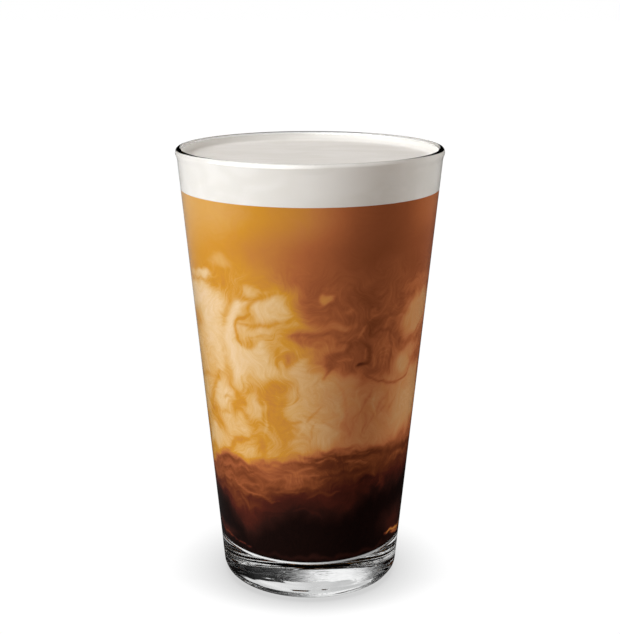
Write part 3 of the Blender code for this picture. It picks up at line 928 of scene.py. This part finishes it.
class BREW_OT_drink(bpy.types.Operator):
    """Pour the coffee and cream: one body up to the foam line"""
    bl_idname = "brew.drink"
    bl_label = "Swirled drink"

    def execute(self, context):
        sizes, look = context.scene.brew_glass, context.scene.brew_drink
        drink = closed_mesh("swirled_drink", turned_grid(drink_profile(sizes, look), 384),
                            drink_material())
        paint(drink.data)
        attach(drink, BODY)
        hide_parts("milky_coffee", "cream_cloud", "dark_coffee")
        return {"FINISHED"}


class BREW_OT_foam(bpy.types.Operator):
    """Top the drink with its foam head"""
    bl_idname = "brew.foam"
    bl_label = "Foam head"

    def execute(self, context):
        sizes, look = context.scene.brew_glass, context.scene.brew_drink
        foam = closed_mesh("nitro_foam", turned_grid(foam_profile(sizes, look), 288),
                           foam_material(look))
        mark_foam(foam.data, sizes)
        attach(foam, BODY)
        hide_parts("foam_head")
        return {"FINISHED"}


def panel_light(name, azimuth, elevation, size, level):
    """Upright panel that faces the glass and isn't mirrored in it.

    Its power is the level times pi squared times the distance squared, so that the same level
    lights the glass equally from any distance.
    """
    data = bpy.data.lights.new(name, "AREA")
    data.shape = "RECTANGLE"
    data.size, data.size_y = size
    data.energy = level * pi * pi * PANEL_AWAY * PANEL_AWAY
    lamp = bpy.data.objects.new(name, data)
    a, e = radians(azimuth), radians(elevation)
    lamp.location = (PANEL_AWAY * sin(a) * cos(e), -PANEL_AWAY * cos(a) * cos(e),
                     GLASS_BOX[1][2] / 2.0 + PANEL_AWAY * sin(e))
    lamp.rotation_euler = (pi / 2.0 - e, 0.0, a)
    lamp.visible_glossy = False
    lamp.visible_transmission = False
    lamp.visible_camera = False
    bpy.context.scene.collection.objects.link(lamp)


def studio_world(look):
    """White to the camera, even grey for lighting, and for glass a card behind with a ragged edge.

    The glass base turns what is behind it left to right: it sees the card's dark half on the left.
    The softbox stands in front at the left and shows only as a shine on the glass.
    """
    world = bpy.data.worlds.new("studio")
    bpy.context.scene.world = world
    world.use_nodes = True
    tree = world.node_tree
    tree.nodes.clear()
    path = add(tree, "LightPath").outputs
    camera, glass = path["Is Camera Ray"], path["Is Transmission Ray"]
    where = add(tree, "TexCoord").outputs["Generated"]
    right, back, up = add(tree, "SeparateXYZ", (where,)).outputs
    # card behind: white at the left, dark at the right, with an edge torn by noise up its height
    streak = add(tree, "TexNoise", {"W": up, "Scale": 200.0, "Detail": 1.0},
                 noise_dimensions="1D")
    shift = add(tree, "Math", (streak, 0.9, -0.45), operation="MULTIPLY_ADD")
    ragged = add(tree, "Math", (right, shift), operation="ADD")
    aside = add(tree, "Math", (ragged,), operation="ABSOLUTE")
    behind = add(tree, "MapRange", (back, 0.1, 0.35, 0.01, 0.78), **SMOOTH)
    beside = add(tree, "MapRange", (aside, 0.38, 0.55, 1.0, 0.0), **SMOOTH)
    card = add(tree, "MapRange", (ragged, -0.03, 0.08, 1.3, 0.04), **SMOOTH)
    opening = add(tree, "Math", (behind, beside), operation="MULTIPLY")
    window = add(tree, "Math", (opening, card), operation="MULTIPLY")
    overhead = add(tree, "MapRange", (right, -0.2, 0.2, 0.03, 0.9), **SMOOTH)
    high = add(tree, "MapRange", (up, 0.62, 0.8), **SMOOTH)
    through = add(tree, "Mix", {0: high, 2: window, 3: overhead})
    # softbox: in front, at the left and above the floor
    leftward = add(tree, "MapRange", (right, -0.6, 0.35, 1.0, 0.0), **SMOOTH)
    forward = add(tree, "MapRange", (back, 0.0, 0.1, 1.0, 0.0), **SMOOTH)
    raised = add(tree, "MapRange", (up, 0.02, 0.12, 0.0, look.softbox), **SMOOTH)
    corner = add(tree, "Math", (leftward, forward), operation="MULTIPLY")
    mirrored = add(tree, "Math", (corner, raised), operation="MULTIPLY")
    # what each kind of ray sees
    glassy = add(tree, "Math", (path["Is Glossy Ray"], glass), operation="MAXIMUM")
    plain = add(tree, "Math", (camera, glassy), operation="MAXIMUM")
    seen = add(tree, "Mix", {0: glass, 2: mirrored, 3: through})
    level = add(tree, "Mix", {0: glassy, 2: look.fill, 3: seen})
    shown = add(tree, "Mix", {0: camera, 2: level, 3: 1.0})
    tint = add(tree, "Mix", {0: plain, 6: FILL_TINT, 7: WHITE}, **COLOUR)
    light = add(tree, "Background", {"Color": tint.outputs[2], "Strength": shown})
    add(tree, "OutputWorld", (light,))


def floor_material():
    """White studio sweep lit to saturation: only the glass's contact shadow shows on it.

    The glass sees it dimmer through its base, and mirrors a darker one with the softbox's shine.
    """
    made, tree = new_material("white_sweep")
    where = add(tree, "TexCoord").outputs["Object"]
    right, back, _ = add(tree, "SeparateXYZ", (where,)).outputs
    # contact shadow, narrow in front of the glass and wide beside and behind it
    reach = add(tree, "MapRange", (back, -36.0 * MM, -12.0 * MM, 13.0 * MM, 24.0 * MM))
    near = add(tree, "AmbientOcclusion", {"Distance": reach}).outputs["AO"]
    contact = add(tree, "MapRange", (near, 0.4, 0.97, 0.62, 1.02))
    # seen through the glass: white at the left and grey at the right near it, even far off
    away = add(tree, "VectorMath", (where,), operation="LENGTH").outputs["Value"]
    card = add(tree, "MapRange", (right, -12.0 * MM, 12.0 * MM, 1.0, 0.4), **SMOOTH)
    far = add(tree, "MapRange", (away, 80.0 * MM, 160.0 * MM), **SMOOTH)
    through = add(tree, "Mix", {0: far, 2: card, 3: 0.74})
    # mirrored: brighter towards the back and the left, and the softbox's shine far in front
    sweep = add(tree, "MapRange", (back, 120.0 * MM, 420.0 * MM, 0.03, 0.27), **SMOOTH)
    lit_side = add(tree, "MapRange", (right, -80.0 * MM, 80.0 * MM, 1.0, 0.15), **SMOOTH)
    mirrored = add(tree, "Math", (sweep, lit_side), operation="MULTIPLY")
    low_shine = add(tree, "MapRange", (back, -2000.0 * MM, -800.0 * MM, 2.0, 0.0), **SMOOTH)
    at_left = add(tree, "MapRange", (right, -500.0 * MM, 300.0 * MM, 1.0, 0.0), **SMOOTH)
    shine = add(tree, "Math", (low_shine, at_left, mirrored), operation="MULTIPLY_ADD")
    path = add(tree, "LightPath").outputs
    seen = add(tree, "Mix", {0: path["Is Transmission Ray"], 2: shine, 3: through})
    level = add(tree, "Mix", {0: path["Is Camera Ray"], 2: seen, 3: contact})
    add(tree, "OutputMaterial", (add(tree, "Emission", {"Strength": level}),))
    return made


class BREW_OT_stage(bpy.types.Operator):
    """Set the camera, the white floor and the soft studio light"""
    bl_idname = "brew.stage"
    bl_label = "Stage"

    def execute(self, context):
        look = context.scene.brew_stage
        scene = context.scene
        data = bpy.data.cameras.new("camera")
        data.lens, data.sensor_width = look.lens, 36.0
        data.clip_start, data.clip_end = 0.01, 20.0
        camera = bpy.data.objects.new("camera", data)
        camera.location = (0.0, -look.camera_back, look.camera_up)
        camera.rotation_euler = (pi / 2.0 - look.pitch, 0.0, 0.0)
        scene.collection.objects.link(camera)
        scene.camera = camera
        mesh = bpy.data.meshes.new("floor")
        corners = [(x * FLOOR_HALF, y * FLOOR_HALF, 0.0)
                   for x, y in ((-1, -1), (1, -1), (1, 1), (-1, 1))]
        mesh.from_pydata(corners, [], [(0, 1, 2, 3)])
        mesh.materials.append(floor_material())
        floor = bpy.data.objects.new("floor", mesh)
        floor.location.z = -0.05 * MM
        floor.visible_diffuse = False
        scene.collection.objects.link(floor)
        for name, azimuth, elevation, size in PANELS:
            panel_light(name, azimuth, elevation, size, getattr(look, name))
        studio_world(look)
        scene.view_settings.view_transform = "Standard"
        scene.cycles.max_bounces = BOUNCES
        scene.cycles.glossy_bounces = BOUNCES
        scene.cycles.transmission_bounces = BOUNCES
        return {"FINISHED"}


class BREW_PT_panel(bpy.types.Panel):
    """Lists the pieces and their settings"""
    bl_label = "Cold brew"
    bl_idname = "BREW_PT_panel"
    bl_space_type = "VIEW_3D"
    bl_region_type = "UI"
    bl_category = "Cold Brew"

    def draw(self, context):
        for operator in OPERATORS:
            self.layout.operator(operator.bl_idname)
        for name, group in GROUPS.items():
            settings = getattr(context.scene, name)
            for field in group.__annotations__:
                self.layout.prop(settings, field)


OPERATORS = (BREW_OT_glass, BREW_OT_drink, BREW_OT_foam, BREW_OT_stage)
GROUPS = {"brew_glass": GlassSizes, "brew_drink": DrinkLook, "brew_stage": StageLook}
CLASSES = (*GROUPS.values(), *OPERATORS, BREW_PT_panel)


def register():
    """Make the classes and the scene's settings known to Blender."""
    for made in CLASSES:
        bpy.utils.register_class(made)
    for name, group in GROUPS.items():
        setattr(bpy.types.Scene, name, PointerProperty(type=group))


def unregister():
    """Take the settings and classes away again."""
    for name in GROUPS:
        delattr(bpy.types.Scene, name)
    for made in reversed(CLASSES):
        bpy.utils.unregister_class(made)


def clear_scene():
    """Remove what the file opened with, but not the frame."""
    kept = set(frame["nodes"].values()) | set(frame["bodies"].values())
    for item in list(bpy.data.objects):
        if item not in kept:
            bpy.data.objects.remove(item, do_unlink=True)


def main():
    """Make every piece in order."""
    register()
    clear_scene()
    for operator in OPERATORS:
        group, name = operator.bl_idname.split(".")
        getattr(getattr(bpy.ops, group), name)()


if __name__ == "__main__":
    main()
